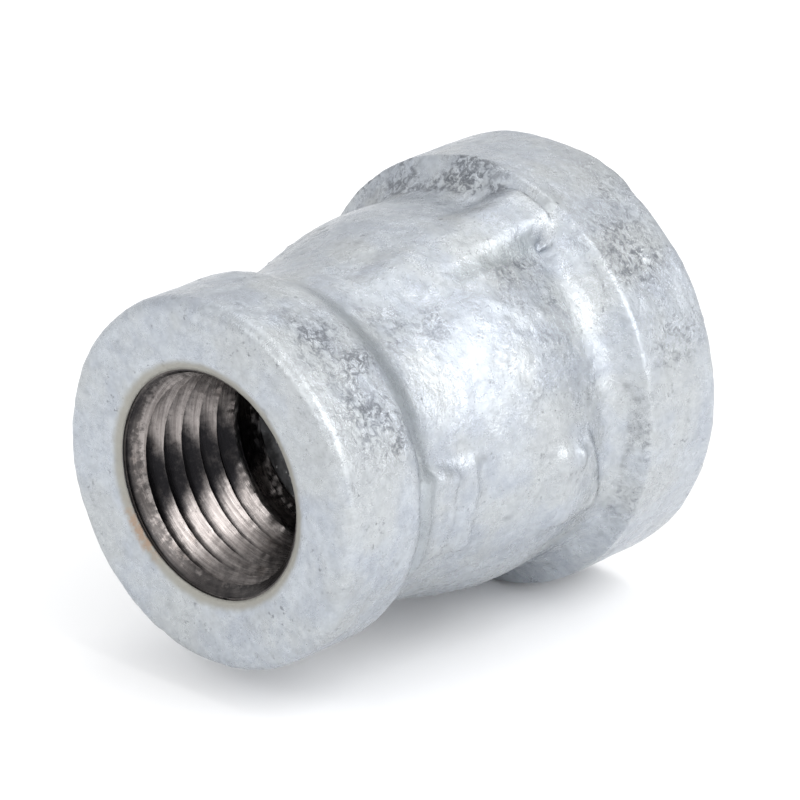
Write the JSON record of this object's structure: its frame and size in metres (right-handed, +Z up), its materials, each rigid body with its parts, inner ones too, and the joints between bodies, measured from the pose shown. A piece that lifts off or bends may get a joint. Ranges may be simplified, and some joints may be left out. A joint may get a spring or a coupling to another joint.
{
  "type": "pipe reducing coupling",
  "caption": "Straight reducing coupling in galvanised iron that joins a larger threaded pipe to a smaller one on one axis.",
  "frame": {"origin": "on the pipe axis, in the plane of the large end's face", "axes": "+Y along the pipe axis and out of the large mouth; the small mouth faces -Y; +Z up, with the fitting's axis level"},
  "size_m": [0.0258, 0.0287, 0.0258],
  "materials": {
    "bare_iron": "freshly tapped malleable iron, dark grey with bright tool marks and a little rust",
    "hot_dip_zinc": "matt blue-grey hot-dip zinc with blotches, pits and bright patches",
    "inner_zinc": "dull hot-dip zinc over the cored surface, in shade"
  },
  "bodies": {
    "root": {"iron_casting": "bare_iron", "outer_zinc_coat": "hot_dip_zinc", "waist_zinc_coat": "inner_zinc"}
  },
  "joints": []
}
